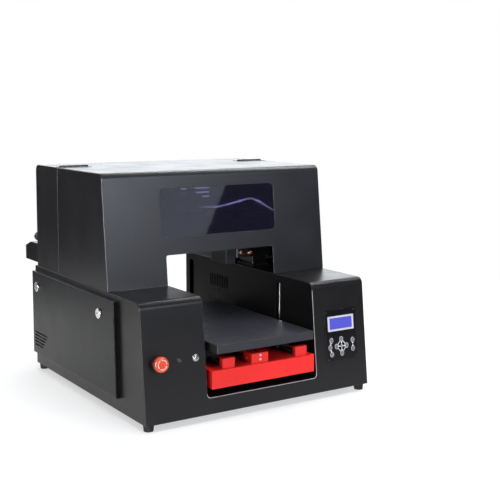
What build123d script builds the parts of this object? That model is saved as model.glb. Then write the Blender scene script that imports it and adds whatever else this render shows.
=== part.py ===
from build123d import *
import os
from math import cos, radians, sin, tan

# Flatbed UV printer, in millimetres. +X right, +Y to the rear, +Z up.
# The origin is the bottom centre of the whole machine, on the surface that it stands on.

# ---------------------------------------------------------------- driving dimensions
BASE_W = 690.0            # width over the two towers
BASE_D = 716.0            # depth of the base
FRONT = -390.67           # y of the base's lower front edge
FOOT_H = 18.0             # height of the rubber feet
TOWER_TOP = 313.0         # height of the two front towers
HOOD_TOP = 614.0          # height of the upper housing
LEAN = 5.95               # how far the front faces lean back, in degrees
SHEET = 2.0               # sheet-metal thickness
BEND_R = 18.0             # outer radius of the big bends at the top
TUNNEL_W = 341.0          # clear width between the towers
TUNNEL_FLOOR = 59.0       # top of the tunnel's floor
ARCH_TOP = 392.0          # top of the arch through the upper housing
HOOD_FRONT = 208.0        # hood's lower front edge, behind the base's front edge
SEAM = 531.0              # parting line between hood and rear housing
HOOD_REAR = 694.0         # back of the rear housing
GAP = 0.3                 # clearance between pieces that move past each other
FIT = 0.08                # radial clearance of a shaft in its bore
EDGE_R = 2.0              # outer radius of the sharp bends down the front corners

TABLE_W = 299.0           # A3 short side
TABLE_L = 480.0
TABLE_TOP = 193.0
TABLE_H = 22.0
TABLE_FRONT = -9.0

TRAY_W = 317.0
TRAY_L = 700.0
TRAY_TOP = 127.0
TRAY_H = 46.5
TRAY_SHEET = 2.5

LIFT_Y = (200.0, 668.0)   # front and rear pairs of lift screws and guide rods
ROD_X = 185.0
ROD_R = 4.0
SCREW_X = 214.0
SCREW_R = 5.0
SCREW_TOP = 252.0
JOURNAL_R = 3.0           # thin upper end of a lift screw
SLOT_Y = (189.0, 679.0)   # middle of the slots that the lift arms pass through
ARM_Z = 98.0
ARM_T = 12.0

PULLEY_R = 7.0            # pulleys of the table and carriage belts
BELT_T = 1.5
BELT_W = 8.0
BELT_X = -10.0            # plane of the table belt
BELT_Z = 137.0
Y_IDLER = 30.0
Y_DRIVE = 665.0

BEAM_Y = 450.0            # front face of the carriage beam
BEAM_Z = 400.0
BEAM_SIZE = (40.0, 60.0)
X_BELT_Y = 456.0
X_BELT_Z = 463.0
X_DRIVE = -322.0
X_IDLER = 318.0
LAMP_X = 91.0             # left side of the UV lamp with the carriage parked
CARRIAGE_X = (125.0, 246.0)

BASE_BOTTOM = FOOT_H
HALF = BASE_W / 2
REAR = FRONT + BASE_D
SLOPE = tan(radians(LEAN))
COVER_T = 11.5            # how far the side covers stand out
COVER_SHEET = 1.5
LOCKS = {"front": 237.0, "rear": 672.0}
LOCK_Z = 255.0

ESTOP = (-304.5, 164.5)   # x and z of the controls on the leaning front face
POWER = (-198.7, 164.5)
PANEL = (259.0, 164.6)
PANEL_SIZE = (107.0, 141.0)
DISPLAY = (259.3, 196.3)
DISPLAY_SIZE = (88.0, 40.5)
KEY_SIZE = (4.4, 5.7)     # half the width and half the height of an oval key
KEYS = {
    "key_menu": (225.0, 151.5),
    "key_clean": (220.0, 132.5),
    "key_load": (225.0, 114.0),
    "key_up": (259.0, 152.3),
    "key_left": (242.0, 133.5),
    "key_right": (276.6, 133.0),
    "key_down": (260.0, 114.0),
    "key_start": (298.0, 145.5),
    "key_stop": (298.3, 122.0),
}


def back(distance):
    """y at a distance behind the base's lower front edge."""
    return FRONT + distance


def face_y(z, start=0.0, foot=BASE_BOTTOM):
    """y of a leaning front face at height z."""
    return FRONT + start + (z - foot) * SLOPE


def face_plane(x, z, out=0.0, start=0.0, foot=BASE_BOTTOM):
    """A plane on a leaning front face, facing out of it, with its own Y up the face."""
    normal = Vector(0, -cos(radians(LEAN)), sin(radians(LEAN)))
    origin = Vector(x, face_y(z, start, foot), z) + normal * out
    return Plane(origin=origin, x_dir=(1, 0, 0), z_dir=normal)


def hood_plane(x, z, out=0.0):
    """The same for the front face of the hood."""
    return face_plane(x, z, out, HOOD_FRONT, TOWER_TOP)


def leaning_block(start, foot, bottom, top, rear, half, inset, front_r, rear_r):
    """A block with a leaning front and round top edges, drawn in from its outside by inset."""
    lean_in = start + inset / cos(radians(LEAN))
    with BuildPart() as block:
        with BuildSketch(Plane.YZ):
            with BuildLine():
                Polyline(
                    (face_y(bottom, lean_in, foot), bottom),
                    (face_y(top - inset, lean_in, foot), top - inset),
                    (rear, top - inset),
                    (rear, bottom),
                    close=True,
                )
            make_face()
        extrude(amount=half - inset, both=True)
        top_edges = block.edges().filter_by(Axis.X).group_by(Axis.Z)[-1].sort_by(Axis.Y)
        if front_r > inset:
            fillet(top_edges[0], front_r - inset)
        if rear_r > inset:
            fillet(block.edges().filter_by(Axis.X).group_by(Axis.Z)[-1].sort_by(Axis.Y)[-1], rear_r - inset)
        if inset == 0:
            leaning = block.faces().filter_by(GeomType.PLANE).sort_by(Axis.Y)[0]
            fillet(leaning.edges().filter_by(Axis.X, reverse=True), EDGE_R)
    return block.part


finished = []


def finish_part(name, part):
    """Gives a piece its name and keeps it for export."""
    part.label = name
    finished.append(part)


tower_outside = leaning_block(0, BASE_BOTTOM, BASE_BOTTOM, TOWER_TOP, REAR, HALF, 0, BEND_R, 4)
tower_inside = leaning_block(0, BASE_BOTTOM, BASE_BOTTOM, TOWER_TOP, REAR - SHEET, HALF, SHEET, BEND_R, 4)

# ---------------------------------------------------------------- base
with BuildPart() as base_shell:
    add(tower_outside)
    add(tower_inside, mode=Mode.SUBTRACT)
    # the tunnel through front, rear and top
    with BuildSketch(Plane.XZ):
        with Locations((0, TUNNEL_FLOOR + TOWER_TOP / 2)):
            RectangleRounded(TUNNEL_W, TOWER_TOP, 10)
    extrude(amount=BASE_D, both=True, mode=Mode.SUBTRACT)
    # openings for the control panel, emergency stop and power button
    with BuildSketch(face_plane(*PANEL)):
        RectangleRounded(97, 129, 3)
    extrude(amount=6, both=True, mode=Mode.SUBTRACT)
    with BuildSketch(face_plane(*ESTOP)):
        Circle(11.1)
    extrude(amount=6, both=True, mode=Mode.SUBTRACT)
    with BuildSketch(face_plane(*POWER)):
        Circle(7.9)
    extrude(amount=6, both=True, mode=Mode.SUBTRACT)
    # keyhole slots behind the locks, and air slots behind the covers
    with BuildSketch(Plane.YZ):
        for y in LOCKS.values():
            with Locations((back(y), LOCK_Z)):
                SlotOverall(46, 17.5, rotation=90)
        with Locations((back(640), 98)):
            with GridLocations(0, 12, 1, 4):
                SlotOverall(80, 5)
    extrude(amount=BASE_W, both=True, mode=Mode.SUBTRACT)
    # air slots in the back of both towers
    with BuildSketch(Plane.XZ.offset(-REAR)):
        for side in (-1, 1):
            with Locations((side * 262, 120)):
                with GridLocations(0, 14, 1, 6):
                    SlotOverall(90, 5)
    extrude(amount=6, both=True, mode=Mode.SUBTRACT)
finish_part("base_shell", base_shell.part)

with BuildPart() as tunnel_liner:
    with BuildSketch(Plane.XZ):
        with Locations((0, TUNNEL_FLOOR - SHEET + TOWER_TOP / 2)):
            RectangleRounded(TUNNEL_W + 2 * SHEET, TOWER_TOP, 12)
        with Locations((0, TUNNEL_FLOOR + TOWER_TOP / 2)):
            RectangleRounded(TUNNEL_W, TOWER_TOP, 10, mode=Mode.SUBTRACT)
    extrude(amount=BASE_D, both=True)
    add(tower_inside, mode=Mode.INTERSECT)
    # slots for the lift arms, and a grille in each wall
    with BuildSketch(Plane.YZ):
        for y in SLOT_Y:
            with Locations((back(y), 180)):
                SlotOverall(226, 26, rotation=90)
        with Locations((back(508), 247)):
            with GridLocations(10, 0, 11, 1):
                SlotOverall(38, 5, rotation=90)
    extrude(amount=BASE_W, both=True, mode=Mode.SUBTRACT)
finish_part("tunnel_liner", tunnel_liner.part)

with BuildPart() as base_pan:
    with BuildSketch(Plane.XY.offset(BASE_BOTTOM)):
        with Locations((0, back(BASE_D / 2))):
            Rectangle(BASE_W, BASE_D)
    extrude(amount=SHEET)
    add(tower_inside, mode=Mode.INTERSECT)
    # bearing bosses for the screws and guide rods
    boss_z = BASE_BOTTOM + SHEET
    with BuildSketch(Plane.XY.offset(boss_z)):
        for y in LIFT_Y:
            for side in (-1, 1):
                with Locations((side * (ROD_X + SCREW_X) / 2, back(y))):
                    SlotOverall(56, 24)
    extrude(amount=8)
    for y in LIFT_Y:
        for side in (-1, 1):
            with Locations((side * SCREW_X, back(y), boss_z + 8)):
                Hole(SCREW_R - 1 + FIT, depth=8)
            with Locations((side * ROD_X, back(y), boss_z + 8)):
                Hole(ROD_R + 0.02, depth=8)
finish_part("base_pan", base_pan.part)

FOOT_PITCH = BASE_D - 36
with BuildPart() as feet:
    with Locations((0, back(BASE_D / 2 + 2), 0)):
        with GridLocations(BASE_W - 34, FOOT_PITCH, 2, 2):
            Cone(12, 14, FOOT_H, align=(Align.CENTER, Align.CENTER, Align.MIN))
            Cylinder(3, 8, align=(Align.CENTER, Align.CENTER, Align.MIN), mode=Mode.SUBTRACT)
    fillet(feet.faces().group_by(Axis.Z)[0].edges().filter_by(GeomType.CIRCLE).group_by(SortBy.RADIUS)[-1], 1.2)
finish_part("feet", feet.part)


# ---------------------------------------------------------------- side covers and their locks
def cover_outline(inset):
    """Corners of a side cover with its leaning front edge, drawn in by inset."""
    low, high = 53 + inset, 298 - inset
    front_low = 141 + inset
    return (
        (back(front_low), low),
        (back(front_low + (high - low) * 0.045), high),
        (back(712 - inset), high),
        (back(712 - inset), low),
    )


for side_name, side in (("left", -1), ("right", 1)):
    with BuildPart() as cover:
        with BuildSketch(Plane.YZ.offset(side * HALF)):
            Polygon(*cover_outline(0), align=None)
        extrude(amount=side * COVER_T)
        outer_face = cover.faces().sort_by(Axis.X)[0 if side < 0 else -1]
        fillet(outer_face.edges(), 2.5)
        with BuildSketch(Plane.YZ.offset(side * HALF)):
            Polygon(*cover_outline(COVER_SHEET), align=None)
        extrude(amount=side * (COVER_T - COVER_SHEET), mode=Mode.SUBTRACT)
        with BuildSketch(Plane.YZ.offset(side * HALF)):
            for row in range(5):
                length = 102 - 9.6 * row
                with Locations((back(697 - length / 2), 118 - 9.5 * row)):
                    SlotOverall(length, 4.4)
            for y in LOCKS.values():
                with Locations((back(y), LOCK_Z)):
                    Circle(8 + FIT)
        extrude(amount=side * (COVER_T + 1), mode=Mode.SUBTRACT)
    finish_part(f"{side_name}_side_cover", cover.part)

    for place, y in LOCKS.items():
        inward = 1 if place == "front" else -1
        with BuildPart() as lock:
            with BuildSketch(Plane.YZ.offset(side * (HALF + COVER_T))):
                with Locations((back(y), LOCK_Z)):
                    Circle(14)
            extrude(amount=side * 4.5)
            fillet(lock.faces().sort_by(Axis.X)[0 if side < 0 else -1].edges(), 1.8)
            with BuildSketch(Plane.YZ.offset(side * (HALF + COVER_T + 4.5))):
                with Locations((back(y), LOCK_Z)):
                    SlotOverall(17, 3.4)
            extrude(amount=-side * 2.5, mode=Mode.SUBTRACT)
            with BuildSketch(Plane.YZ.offset(side * (HALF - 6.5))):
                with Locations((back(y), LOCK_Z)):
                    Circle(8)
            extrude(amount=side * (COVER_T + 6.5))
            with BuildSketch(Plane.YZ.offset(side * (HALF - 6.5))):
                with Locations((back(y) + inward * 11, LOCK_Z)):
                    SlotOverall(38, 15)
            extrude(amount=side * 2.5)
        finish_part(f"{side_name}_{place}_lock", lock.part)

# ---------------------------------------------------------------- control panel
with BuildPart() as control_panel:
    with BuildSketch(face_plane(*PANEL)):
        RectangleRounded(*PANEL_SIZE, 4)
    extrude(amount=SHEET)
    fillet(control_panel.faces().sort_by(Axis.Y)[0].edges(), 0.6)
    with BuildSketch(face_plane(*DISPLAY)):
        RectangleRounded(DISPLAY_SIZE[0] + 0.4, DISPLAY_SIZE[1] + 0.4, 1.7)
    extrude(amount=6, both=True, mode=Mode.SUBTRACT)
    for x, z in KEYS.values():
        with BuildSketch(face_plane(x, z)):
            Ellipse(KEY_SIZE[0] + 0.15, KEY_SIZE[1] + 0.15)
        extrude(amount=6, both=True, mode=Mode.SUBTRACT)
finish_part("control_panel", control_panel.part)

with BuildPart() as lcd_display:
    with BuildSketch(face_plane(*DISPLAY, -9)):
        Rectangle(93, 46)
    extrude(amount=9)
    with BuildSketch(face_plane(*DISPLAY)):
        RectangleRounded(*DISPLAY_SIZE, 1.5)
    extrude(amount=3.4)
    with BuildSketch(face_plane(*DISPLAY, 3.4)):
        Rectangle(DISPLAY_SIZE[0] - 11, DISPLAY_SIZE[1] - 9.5)
    extrude(amount=-1.6, mode=Mode.SUBTRACT)
finish_part("lcd_display", lcd_display.part)

for key_name, (x, z) in KEYS.items():
    with BuildPart() as key:
        with BuildSketch(face_plane(x, z, -1.4)):
            Ellipse(KEY_SIZE[0] + 1.2, KEY_SIZE[1] + 1.2)
        extrude(amount=1.1)
        with BuildSketch(face_plane(x, z, -1.4)):
            Ellipse(*KEY_SIZE)
        extrude(amount=5.0)
        fillet(key.faces().sort_by(Axis.Y)[0].edges(), 0.9)
    finish_part(key_name, key.part)

# ---------------------------------------------------------------- emergency stop and power button
STOP_R = 19.0
BEZEL_R = 8.8
CAP_R = 5.8
with BuildPart() as estop_collar:
    with BuildSketch(face_plane(*ESTOP, -50)):
        RectangleRounded(30, 30, 2)
    extrude(amount=22)
    with BuildSketch(face_plane(*ESTOP, -28)):
        Circle(11)
    extrude(amount=28)
    with BuildSketch(face_plane(*ESTOP)):
        Circle(16)
    extrude(amount=5, taper=8)
    with BuildSketch(face_plane(*ESTOP, 5)):
        Circle(7 + FIT)
    extrude(amount=-33, mode=Mode.SUBTRACT)
finish_part("estop_collar", estop_collar.part)

with BuildPart() as estop_stem:
    with BuildSketch(face_plane(*ESTOP, -22)):
        Circle(7)
    extrude(amount=34)
    with BuildSketch(face_plane(*ESTOP, 12)):
        Circle(5)
    extrude(amount=8)
finish_part("estop_stem", estop_stem.part)

with BuildPart() as estop_head:
    with BuildSketch(face_plane(*ESTOP, 12)):
        Circle(STOP_R)
    extrude(amount=14)
    fillet(estop_head.faces().sort_by(Axis.Y)[0].edges(), 5)
    chamfer(estop_head.faces().sort_by(Axis.Y)[-1].edges(), 3)
    # bore for the stem
    with BuildSketch(face_plane(*ESTOP, 12)):
        Circle(5 + FIT)
    extrude(amount=8.2, mode=Mode.SUBTRACT)
finish_part("estop_head", estop_head.part)

with BuildPart() as button_bezel:
    with BuildSketch(face_plane(*POWER, -22)):
        Circle(7.8)
    extrude(amount=22)
    with BuildSketch(face_plane(*POWER)):
        Circle(BEZEL_R)
    extrude(amount=3)
    fillet(button_bezel.faces().sort_by(Axis.Y)[0].edges(), 1.0)
    with BuildSketch(face_plane(*POWER, 3)):
        Circle(CAP_R + FIT)
    extrude(amount=-15, mode=Mode.SUBTRACT)
finish_part("button_bezel", button_bezel.part)

with BuildPart() as button_cap:
    with BuildSketch(face_plane(*POWER, -8)):
        Circle(CAP_R)
    extrude(amount=14)
    fillet(button_cap.faces().sort_by(Axis.Y)[0].edges(), 1.2)
finish_part("button_cap", button_cap.part)

# ---------------------------------------------------------------- upper housing
HINGE_X = (-295.0, 295.0)
HINGE_L = 86.0
HINGE_R = 2.4
HINGE_MIDDLE = 28.4       # length of the knuckle between the two outer ones
LEAF_T = 1.2
LEAF_W = 23.0
HINGE_Y = back(SEAM) + 0.5
HINGE_Z = HOOD_TOP + HINGE_R + GAP
PIN_R = 1.1


def hinge_leaf(x, forward):
    """One leaf of a butt hinge on top of the housing, with its knuckles."""
    way = -1 if forward else 1
    inner, outer = HINGE_MIDDLE / 2, HINGE_L / 2
    spans = ((-outer, -inner - GAP), (inner + GAP, outer)) if forward else ((-inner, inner),)
    with BuildPart() as leaf:
        with BuildSketch(Plane.XY.offset(HOOD_TOP)):
            with Locations((x, HINGE_Y + way * (HINGE_R + 0.5 + LEAF_W / 2))):
                Rectangle(HINGE_L, LEAF_W)
            for low, high in spans:
                with Locations((x + (low + high) / 2, HINGE_Y + way * 2.8)):
                    Rectangle(high - low, 5.6)
        extrude(amount=LEAF_T)
        for low, high in spans:
            with BuildSketch(Plane.YZ.offset(x + (low + high) / 2)):
                with Locations((HINGE_Y, HINGE_Z)):
                    Circle(HINGE_R)
            extrude(amount=(high - low) / 2, both=True)
        # the rear leaf holds the pin, and the front leaf turns on it
        with BuildSketch(Plane.YZ.offset(x)):
            with Locations((HINGE_Y, HINGE_Z)):
                Circle(PIN_R + (FIT if forward else 0))
        extrude(amount=HINGE_L / 2, both=True, mode=Mode.SUBTRACT if forward else Mode.ADD)
    return leaf.part


front_leaves = [hinge_leaf(x, True) for x in HINGE_X]
rear_leaves = [hinge_leaf(x, False) for x in HINGE_X]
hood_outside = leaning_block(
    HOOD_FRONT, TOWER_TOP, TOWER_TOP + GAP, HOOD_TOP, back(SEAM), HALF, 0, BEND_R, 0
)
hood_inside = leaning_block(
    HOOD_FRONT, TOWER_TOP, TOWER_TOP, HOOD_TOP, back(SEAM), HALF, SHEET, BEND_R, 0
)
WINDOW = (0.5, 504.0)
WINDOW_SIZE = (364.0, 131.0)

with BuildPart() as front_hood:
    add(hood_outside)
    add(hood_inside, mode=Mode.SUBTRACT)
    # the arch over the table, through the front only
    with BuildSketch(Plane.XZ.offset(-back(HOOD_FRONT - 20))):
        with Locations((0, ARCH_TOP - TOWER_TOP / 2)):
            RectangleRounded(TUNNEL_W, TOWER_TOP, 6)
    extrude(amount=-120, mode=Mode.SUBTRACT)
    with BuildSketch(hood_plane(*WINDOW)):
        RectangleRounded(*WINDOW_SIZE, 13)
    extrude(amount=8, both=True, mode=Mode.SUBTRACT)
    for leaf in front_leaves:
        add(leaf)
finish_part("front_hood", front_hood.part)

with BuildPart() as window:
    with BuildSketch(hood_plane(*WINDOW, -SHEET)):
        RectangleRounded(WINDOW_SIZE[0] + 18, WINDOW_SIZE[1] + 18, 16)
    extrude(amount=-3)
    with BuildSketch(hood_plane(*WINDOW, -SHEET)):
        RectangleRounded(WINDOW_SIZE[0] - 0.6, WINDOW_SIZE[1] - 0.6, 12.7)
    extrude(amount=1.4)
finish_part("window", window.part)

KNOB = (-HALF + 16, 397.5)
STEM_R = 5.0


def rear_block(front, inset):
    """The rear housing's block with its round top edge, drawn in from its outside by inset."""
    length = back(HOOD_REAR) - inset - front
    with BuildPart() as block:
        with BuildSketch(Plane.XY.offset(TOWER_TOP)):
            with Locations((0, front + length / 2)):
                Rectangle(BASE_W - 2 * inset, length)
        extrude(amount=HOOD_TOP - TOWER_TOP - inset)
        fillet(block.edges().filter_by(Axis.X).group_by(Axis.Z)[-1].sort_by(Axis.Y)[-1], BEND_R - inset)
    return block.part


seam_back = back(SEAM) + 1
depth = back(HOOD_REAR) - seam_back
housing_outside = rear_block(seam_back, 0)
housing_inside = rear_block(seam_back, SHEET)

with BuildPart() as rear_housing:
    add(housing_outside)
    add(housing_inside, mode=Mode.SUBTRACT)
    # arch over the tunnel, with a shelf on it
    with BuildSketch(Plane.XZ.offset(-seam_back)):
        with Locations((0, TOWER_TOP + (ARCH_TOP + SHEET - TOWER_TOP) / 2)):
            Rectangle(TUNNEL_W + 2 * SHEET, ARCH_TOP + SHEET - TOWER_TOP)
    extrude(amount=-(depth - SHEET / 2))
    with BuildSketch(Plane.XZ.offset(-seam_back)):
        with Locations((0, ARCH_TOP - TOWER_TOP / 2)):
            RectangleRounded(TUNNEL_W, TOWER_TOP, 6)
    extrude(amount=-(depth + 5), mode=Mode.SUBTRACT)
    # air slots high in the back
    with BuildSketch(Plane.XZ.offset(-back(HOOD_REAR))):
        for side in (-1, 1):
            with Locations((side * 190, 520)):
                with GridLocations(0, 14, 1, 5):
                    SlotOverall(110, 5)
    extrude(amount=6, both=True, mode=Mode.SUBTRACT)
    # hole for the knob's stem
    with BuildSketch(Plane.XZ.offset(-back(HOOD_REAR))):
        with Locations(KNOB):
            Circle(STEM_R + FIT)
    extrude(amount=6, both=True, mode=Mode.SUBTRACT)
    for leaf in rear_leaves:
        add(leaf)
finish_part("rear_housing", rear_housing.part)

# ---------------------------------------------------------------- things on the back
BOX_Z = (324.0, 380.0)
BOX_W = 122.0
BOX_D = 97.0
BOX_SLOPE = (44.0, 15.0)  # how deep and how high the slope at its top rear edge is
box_y = back(HOOD_REAR)
INLET = (-HALF + 78, 345.5)
with BuildPart() as junction_box:
    for inset, mode in ((0, Mode.ADD), (SHEET, Mode.SUBTRACT)):
        low, high, rear = BOX_Z[0] + inset, BOX_Z[1] - inset, box_y + BOX_D - inset
        with BuildSketch(Plane.YZ.offset(-HALF + inset)):
            Polygon(
                (box_y, low),
                (rear, low),
                (rear, BOX_Z[1] - BOX_SLOPE[1] - 0.7 * inset),
                (box_y + BOX_D - BOX_SLOPE[0] - 0.35 * inset, high),
                (box_y, high),
                align=None,
            )
        extrude(amount=BOX_W - 2 * inset, mode=mode)
    with BuildSketch(Plane.XZ.offset(-(box_y + BOX_D))):
        with Locations(INLET):
            Rectangle(28.4, 20.4)
    extrude(amount=6, both=True, mode=Mode.SUBTRACT)
finish_part("junction_box", junction_box.part)

with BuildPart() as power_inlet:
    with BuildSketch(Plane.XZ.offset(-(box_y + BOX_D))):
        with Locations(INLET):
            RectangleRounded(50, 24, 3)
    extrude(amount=-2.4)
    with BuildSketch(Plane.XZ.offset(-(box_y + BOX_D))):
        with Locations(INLET):
            Rectangle(28, 20)
    extrude(amount=24)
    with BuildSketch(Plane.XZ.offset(-(box_y + BOX_D + 2.4))):
        with Locations(INLET):
            RectangleRounded(24, 16.4, 3)
    extrude(amount=19, mode=Mode.SUBTRACT)
    with BuildSketch(Plane.XZ.offset(-(box_y + BOX_D - 17))):
        with Locations((INLET[0] - 7, INLET[1] - 2), (INLET[0], INLET[1] + 2), (INLET[0] + 7, INLET[1] - 2)):
            Rectangle(2, 4)
    extrude(amount=-11)
finish_part("power_inlet", power_inlet.part)

with BuildPart() as rear_knob:
    for start, end, radius in ((-8, 1, STEM_R), (GAP, 39, 6)):
        with BuildSketch(Plane.XZ.offset(-(box_y + start))):
            with Locations(KNOB):
                Circle(radius)
        extrude(amount=start - end)
    with BuildSketch(Plane.XZ.offset(-(box_y + 9))):
        with Locations(KNOB):
            Circle(13)
            with PolarLocations(13.4, 12, start_angle=15):
                Circle(1.6, mode=Mode.SUBTRACT)
    extrude(amount=-25)
finish_part("rear_knob", rear_knob.part)

# ---------------------------------------------------------------- lift: rods, screws, motor, belt
PLATE_Z = TOWER_TOP - SHEET - 12
with BuildPart() as guide_rods:
    for y in LIFT_Y:
        for side in (-1, 1):
            motor_here = side < 0 and y == LIFT_Y[1]
            plate_w = 15 if motor_here else 51
            with BuildSketch(Plane.XY.offset(BASE_BOTTOM + SHEET)):
                with Locations((side * ROD_X, back(y))):
                    Circle(ROD_R)
            extrude(amount=TOWER_TOP - BASE_BOTTOM - 2 * SHEET)
            # top plate: fixes the rod, and carries the screw's upper end except under the motor
            with BuildSketch(Plane.XY.offset(PLATE_Z)):
                with Locations((side * (ROD_X - 7.5 + plate_w / 2), back(y))):
                    RectangleRounded(plate_w, 20, 2)
            extrude(amount=12)
            if not motor_here:
                with BuildSketch(Plane.XY.offset(PLATE_Z)):
                    with Locations((side * SCREW_X, back(y))):
                        Circle(JOURNAL_R + FIT)
                extrude(amount=8, mode=Mode.SUBTRACT)
finish_part("guide_rods", guide_rods.part)

Z_BELT = (34.0, 42.0)
Z_PULLEY_R = 11.0
MOTOR_Z = SCREW_TOP + 1
for name, side, y, journal_top in (
    ("front_left_screw", -1, LIFT_Y[0], PLATE_Z + 6),
    ("front_right_screw", 1, LIFT_Y[0], PLATE_Z + 6),
    ("rear_left_screw", -1, LIFT_Y[1], MOTOR_Z + 6),
    ("rear_right_screw", 1, LIFT_Y[1], PLATE_Z + 6),
):
    with BuildPart() as screw:
        centre = (side * SCREW_X, back(y))
        for low, high, radius in (
            (BASE_BOTTOM + SHEET + GAP, 30.5, SCREW_R - 1),
            (30.5, SCREW_TOP, SCREW_R),
            (SCREW_TOP, journal_top, JOURNAL_R),
            (31, 33.4, Z_PULLEY_R + 2),
            (31, 45, Z_PULLEY_R),
            (42.6, 45, Z_PULLEY_R + 2),
            (45, 52, 9),
        ):
            with BuildSketch(Plane.XY.offset(low)):
                with Locations(centre):
                    Circle(radius)
            extrude(amount=high - low)
    finish_part(name, screw.part)

with BuildPart() as z_belt:
    for grow, mode in ((GAP + BELT_T, Mode.ADD), (GAP, Mode.SUBTRACT)):
        with BuildSketch(Plane.XY.offset(Z_BELT[0])):
            with Locations((0, back(sum(LIFT_Y) / 2))):
                with GridLocations(2 * SCREW_X, LIFT_Y[1] - LIFT_Y[0], 2, 2):
                    Circle(Z_PULLEY_R + grow)
            make_hull()
        extrude(amount=Z_BELT[1] - Z_BELT[0], mode=mode)
finish_part("z_belt", z_belt.part)

with BuildPart() as z_motor:
    with BuildSketch(Plane.XY.offset(MOTOR_Z)):
        with Locations((-SCREW_X, back(LIFT_Y[1]))):
            RectangleRounded(42, 42, 4)
            Circle(JOURNAL_R + FIT, mode=Mode.SUBTRACT)
    extrude(amount=8)
    with BuildSketch(Plane.XY.offset(MOTOR_Z + 8)):
        with Locations((-SCREW_X, back(LIFT_Y[1]))):
            RectangleRounded(42, 42, 4)
    extrude(amount=TOWER_TOP - SHEET - MOTOR_Z - 8)
finish_part("z_motor", z_motor.part)

with BuildPart() as lift_arms:
    for y, slot_y, way in ((LIFT_Y[0], SLOT_Y[0], 1), (LIFT_Y[1], SLOT_Y[1], -1)):
        for side in (-1, 1):
            with BuildSketch(Plane.XY.offset(ARM_Z)):
                with Locations((side * (TRAY_W / 2 + 10), back(slot_y))):
                    Rectangle(20, 18)
                with Locations((side * (ROD_X + SCREW_X) / 2, back(y) - way * 4)):
                    RectangleRounded(53, 28, 3)
                for x, radius in ((ROD_X, ROD_R + FIT), (SCREW_X, SCREW_R + FIT)):
                    with Locations((side * x, back(y))):
                        Circle(radius, mode=Mode.SUBTRACT)
            extrude(amount=ARM_T)
finish_part("lift_arms", lift_arms.part)

# ---------------------------------------------------------------- stage tray with its rails and belt drive
with BuildPart() as z_tray:
    tray_bottom = TRAY_TOP - TRAY_H
    with BuildSketch(Plane.XY.offset(tray_bottom)):
        with Locations((0, back(TRAY_L / 2))):
            Rectangle(TRAY_W, TRAY_L)
    extrude(amount=TRAY_H)
    fillet(z_tray.edges().filter_by(Axis.Z) + z_tray.faces().sort_by(Axis.Z)[-1].edges(), 2.2)
    with BuildSketch(Plane.XY.offset(tray_bottom)):
        with Locations((0, back(TRAY_L / 2))):
            Rectangle(TRAY_W - 2 * TRAY_SHEET, TRAY_L - 2 * TRAY_SHEET)
    extrude(amount=TRAY_H - TRAY_SHEET, mode=Mode.SUBTRACT)
    # window for the motor, and its upright plate
    with BuildSketch(Plane.XY.offset(TRAY_TOP)):
        with Locations((18, back(Y_DRIVE))):
            Rectangle(40, 40)
    extrude(amount=-10, mode=Mode.SUBTRACT)
    with BuildSketch(Plane.XY.offset(TRAY_TOP - TRAY_SHEET)):
        with Locations((39.7, back(Y_DRIVE))):
            Rectangle(3, 44)
    extrude(amount=27)
    # upright blocks at the front: rail end stops, and the fork of the belt's idler
    with BuildSketch(Plane.XY.offset(TRAY_TOP - 1)):
        with Locations((-107.5, back(12))):
            Rectangle(36, 13)
        with Locations((118.5, back(12))):
            Rectangle(36, 13)
        with Locations((-12.5, back(25.5))):
            Rectangle(51, 40)
        with Locations((BELT_X, back(Y_IDLER + 5))):
            Rectangle(11, 34, mode=Mode.SUBTRACT)
    extrude(amount=27)
    with BuildSketch(Plane.YZ):
        with Locations((back(Y_IDLER), BELT_Z)):
            Circle(3 + FIT)
    extrude(amount=40, both=True, mode=Mode.SUBTRACT)
finish_part("z_tray", z_tray.part)

RAIL_X = 112.0
with BuildPart() as y_rails:
    with BuildSketch(Plane.XZ.offset(-back(20))):
        for side in (-1, 1):
            with Locations((side * RAIL_X, TRAY_TOP + 6.5)):
                Rectangle(15, 13)
            for edge in (-1, 1):
                with Locations((side * RAIL_X + edge * 8.3, TRAY_TOP + 6.5)):
                    Circle(2.6, mode=Mode.SUBTRACT)
    extrude(amount=-672)
finish_part("y_rails", y_rails.part)


def toothed_pulley(plane, axle_r, axle_low, axle_high):
    """A small flanged belt pulley on its axle. The belt runs on the plane."""
    with BuildPart() as pulley:
        for low, high, radius in (
            (-BELT_W / 2 - 1, BELT_W / 2 + 1, PULLEY_R),
            (-BELT_W / 2 - 1, -BELT_W / 2 - 0.3, PULLEY_R + 1.5),
            (BELT_W / 2 + 0.3, BELT_W / 2 + 1, PULLEY_R + 1.5),
            (axle_low, axle_high, axle_r),
        ):
            with BuildSketch(plane.offset(low)):
                Circle(radius)
            extrude(amount=high - low)
    return pulley.part


def belt_loop(plane, length):
    """A closed belt round two pulleys, the second one at length along the plane's x."""
    with BuildPart() as belt:
        for grow, mode in ((GAP + BELT_T, Mode.ADD), (GAP, Mode.SUBTRACT)):
            with BuildSketch(plane.offset(-BELT_W / 2)):
                with Locations((length / 2, 0)):
                    SlotCenterToCenter(length, 2 * (PULLEY_R + grow))
            extrude(amount=BELT_W, mode=mode)
    return belt.part


def table_belt_plane(y):
    """The table belt's plane at a distance behind the front edge."""
    return Plane(origin=(BELT_X, back(y), BELT_Z), x_dir=(0, 1, 0), z_dir=(1, 0, 0))


finish_part("y_idler", toothed_pulley(table_belt_plane(Y_IDLER), 3, -26, 21))
finish_part("y_pulley", toothed_pulley(table_belt_plane(Y_DRIVE), 2.5, -7, 12.3))
finish_part("y_belt", belt_loop(table_belt_plane(Y_IDLER), Y_DRIVE - Y_IDLER))

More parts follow.
